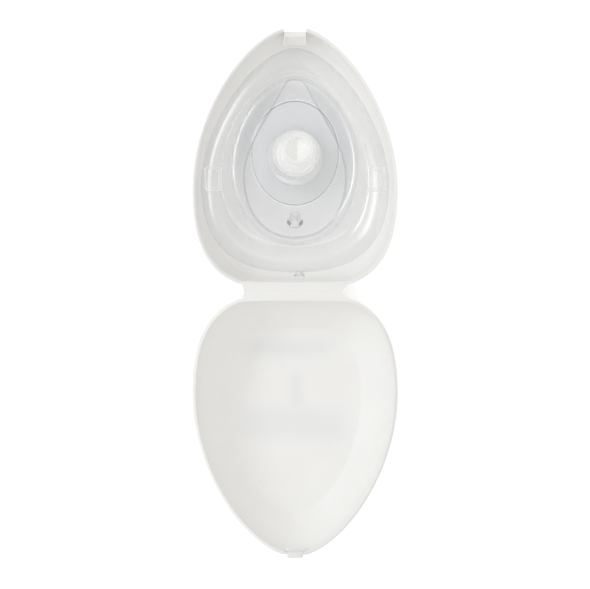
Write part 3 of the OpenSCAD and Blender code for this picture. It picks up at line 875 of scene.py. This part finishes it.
def build_stem():
    """Inflation stem in the chin of the cushion, and its plug."""
    place = (MASK_PLACE @ Matrix.Translation(Vector(STEM_AT) * MM)
             @ Matrix.Rotation(math.pi / 2, 4, "X"))
    stem = turned("stem_tube", [(1.75, 0), (2.7, 0), (2.7, 1.35), (1.75, 1.35)], cushion_film, place, 48)
    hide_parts("inflation_stem")
    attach(stem, "mask")
    axis = 0.001
    plug = turned("stem_plug", [(axis, 0.2), (1.7, 0.2), (1.7, 1.4), (2.9, 1.4), (2.9, 2.1), (axis, 2.1)],
                  plug_clear, place, 48)
    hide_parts("inflation_plug")
    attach(plug, "plug")


# --- Port, valve and oxygen inlet ----------------------------------------------------------------------
def port_place_mm():
    """Port's frame in the mask's coordinates, in millimetres."""
    return (Matrix.Translation((0, PORT_Y, PORT_Z)) @ Matrix.Rotation(math.radians(-PORT_LEAN), 4, "X")
            @ Matrix.Rotation(math.radians(PORT_SIDE), 4, "Y"))


def in_metres(place):
    out = place.copy()
    out.translation = out.translation * MM
    return out


PORT_PLACE = MASK_PLACE @ in_metres(port_place_mm())
SHOULDER = PORT_H + 0.3
VENT_Z = SHOULDER + 1.4
VENT_H = 3.2
NECK_Z = VENT_Z + VENT_H + 1
SEAT_Z = MOUTH_TOP - 3.2


def build_port():
    wall, rim, collar = PORT_R + 1.4, PORT_R + 1.9, COLLAR_R - 0.1
    port = turned("port_body", [
        (PORT_R, -SHEET), (wall, -SHEET), (wall, 0.05), (collar, 0.05), (collar, 1.0),
        (PORT_R + 2.2, 1.4), (wall, 2.6), (wall, PORT_H - 1.4), (rim, PORT_H - 1.2), (rim, PORT_H),
        (PORT_R, PORT_H)], clear_rigid, PORT_PLACE, 128)
    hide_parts("port_connector")
    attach(port, "crown")


def build_valve():
    spigot = PORT_R - 0.05
    chamber = 9.3
    body = turned("valve_body", [
        (chamber, 1.5), (spigot, 1.5), (spigot, SHOULDER), (PORT_R + 1.9, SHOULDER),
        (PORT_R + 1.9, VENT_Z), (PORT_R, VENT_Z), (PORT_R, NECK_Z - 1), (MOUTH_R, NECK_Z + 0.6),
        (MOUTH_R, MOUTH_TOP), (MOUTH_BORE + 0.5, MOUTH_TOP), (MOUTH_BORE + 0.5, SEAT_Z),
        (MOUTH_BORE, SEAT_Z), (MOUTH_BORE, NECK_Z), (chamber, NECK_Z - 1)],
        valve_clear, PORT_PLACE, 128, soften=0.25)
    vents, vent_w = 8, 3.2
    tools = []
    for k in range(vents):
        turn = Matrix.Rotation(2 * math.pi * (k + 0.5) / vents, 4, "Z")
        vent = box_piece("vent", (PORT_R - 3, -vent_w / 2, VENT_Z + 0.4),
                         (PORT_R + 3, vent_w / 2, VENT_Z + VENT_H - 0.4), PORT_PLACE @ turn)
        tools.append(("DIFFERENCE", vent))
    carve(body, tools)
    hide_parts("valve_housing")
    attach(body, "valve")

    z, inside, outside = SEAT_Z + 1.25, MOUTH_BORE - 0.5, MOUTH_BORE + 0.45
    ring = turned("mouth_ring", [(inside, z), (outside, z), (outside, MOUTH_TOP), (inside, MOUTH_TOP)],
                  valve_clear, PORT_PLACE, 96, soften=0.2)
    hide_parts("mouthpiece_ring")
    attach(ring, "valve")


def build_duckbill():
    """Duckbill: a round brim, and a funnel that closes to a slit along the port's Y."""
    top = SEAT_Z + 0.05
    length, slit, mouth = 5.0, 5.9, 6.9
    around = 72
    angles = [2 * math.pi * i / around for i in range(around)]

    def funnel(f, thick):
        ease = f * f * (3 - 2 * f)
        rx = mouth * (1 - ease) + 0.75 * ease - thick
        ry = mouth * (1 - ease) + (slit + 0.6) * ease - thick
        return [(rx * math.cos(a), ry * math.sin(a), top - length * f) for a in angles]

    def circle(r, z):
        return [(r * math.cos(a), r * math.sin(a), z) for a in angles]

    brim = MOUTH_BORE + 0.35
    rings = [circle(brim, top), circle(brim, top + 1.0), circle(brim - 0.1, top + 1.1),
             circle(6.5, top + 1.1), circle(6.3, top + 1.0)]
    rings += [funnel(k / 14, 0.6) for k in range(15)]
    rings += [funnel(k / 14, 0.0) for k in range(14, -1, -1)]
    duck = loft("duckbill", rings, milky_silicone, PORT_PLACE, loop=True, smooth=50)
    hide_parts("duckbill_valve")
    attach(duck, "valve")


def build_nipple():
    """Oxygen nipple: a chamfered boss and a short tube."""
    lean = Matrix.Rotation(math.radians(-NIPPLE_LEAN), 4, "X")
    place = MASK_PLACE @ in_metres(Matrix.Translation(NIPPLE_AT) @ lean)
    gap, boss, boss_h, r, bore, seat, height = 0.35, 4.4, 2.4, 2.75, 1.6, 2.5, 5.2
    low = gap + boss_h
    end = low + height
    nipple = turned("oxygen_tube", [
        (seat, gap), (seat + 0.2, gap), (boss, gap + 0.9), (boss, low - 0.4), (boss - 0.5, low), (r, low),
        (r, end - 0.3), (r - 0.3, end), (bore, end), (bore, gap + 1.4), (seat, gap + 1.4)],
        nipple_clear, place, 64, soften=0.2)
    # painted shade: the boss's lower corners bend the light away, and their faces get a dark material that
    # shows them as dark marks beside the tube
    nipple.data.materials.append(nipple_painted_shade)
    away = place.inverted()
    for face in nipple.data.polygons:
        spot = away @ face.center / MM
        on_top = math.hypot(spot.x, spot.y) > 3.1 and spot.z > low - 0.7
        if on_top and abs(spot.x) > 2.2 and -3.6 < spot.y < 0.4:
            face.material_index = 1
    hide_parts("oxygen_nipple")
    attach(nipple, "nipple")


def let_light_through():
    """Clear pieces pass the lamps' light on instead of shading what lies under them."""
    clear = (dome_vinyl, crown_vinyl, fold_vinyl, cushion_film, clear_rigid, nipple_clear, plug_clear,
             valve_clear, milky_silicone)
    for piece in bpy.context.scene.objects:
        if piece.type == "MESH" and piece.data.materials and piece.data.materials[0] in clear:
            piece.visible_shadow = False
            piece.visible_diffuse = False


def dress_frame():
    """Gives the CAD nodes that stay in view their materials."""
    looks = {"lid_label": label_stock, "filter_ring": silicone_white, "filter_membrane": filter_fabric,
             "exhalation_sleeve": silicone_white, "oxygen_check_disc": silicone_white}
    for name, material in looks.items():
        mesh = frame["nodes"][name].data
        mesh.materials.clear()
        mesh.materials.append(material)


# --- Stage, light and camera ---------------------------------------------------------------------------
def build_stage():
    n = Nodes("studio_floor")
    n.link(n.ramp(n.noise(8, 2.0), (0.955, 0.955, 0.955), (0.965, 0.965, 0.965)),
           n.shader.inputs["Base Color"])
    n.set(Roughness=0.9)
    n.shader.inputs["Emission Color"].default_value = (1, 1, 1, 1)
    n.shader.inputs["Emission Strength"].default_value = 0.29
    mesh = bpy.data.meshes.new("studio_floor")
    half, z = 3.0, -0.0002
    corners = [(-half, -half, z), (half, -half, z), (half, half, z), (-half, half, z)]
    mesh.from_pydata(corners, [], [(0, 1, 2, 3)])
    mesh.materials.append(n.material)
    floor = bpy.data.objects.new("studio_floor", mesh)
    bpy.context.scene.collection.objects.link(floor)


def add_light(name, place, size, power, colour=(1, 1, 1)):
    light = bpy.data.lights.new(name, "AREA")
    light.shape = "RECTANGLE"
    light.size, light.size_y = size
    light.energy = power
    light.color = colour
    lamp = bpy.data.objects.new(name, light)
    lamp.location = place
    lamp.rotation_euler = (Vector((0, 0, 0.02)) - Vector(place)).to_track_quat("-Z", "Y").to_euler()
    bpy.context.scene.collection.objects.link(lamp)
    return lamp


def build_studio():
    world = bpy.data.worlds.new("studio")
    world.use_nodes = True
    world.node_tree.nodes["Background"].inputs["Color"].default_value = (1, 0.988, 0.962, 1)
    world.node_tree.nodes["Background"].inputs["Strength"].default_value = 0.80
    bpy.context.scene.world = world
    add_light("key_left", (-0.95, 0.35, 0.75), (0.9, 0.2), 2.8, (0.95, 0.975, 1))
    add_light("fill_top", (-0.1, -0.3, 1.5), (0.8, 0.5), 1.7, (0.95, 0.975, 1))
    # this lamp acts on gloss only
    strip = add_light("strip_left", (-0.95, 0.25, 0.95), (1.0, 0.5), 7.5)
    strip.visible_diffuse = False
    camera = bpy.data.cameras.new("camera")
    view = bpy.data.objects.new("camera", camera)
    bpy.context.scene.collection.objects.link(view)
    height = 2.5
    across = 0.32391           # width of the picture at the rim's height
    view.location = (0, -0.00165, HALF_DEPTH * MM + height)
    camera.sensor_width = 36
    camera.lens = 36 * height / across
    bpy.context.scene.camera = view
    scene = bpy.context.scene
    scene.view_settings.view_transform = "Standard"
    scene.cycles.transparent_max_bounces = 32


build_tray()
build_lid()
build_hinge()
build_tongue()
build_cushion()
build_flange()
build_dome()
build_stem()
build_port()
build_valve()
build_duckbill()
build_nipple()
dress_frame()
let_light_through()
build_stage()
build_studio()
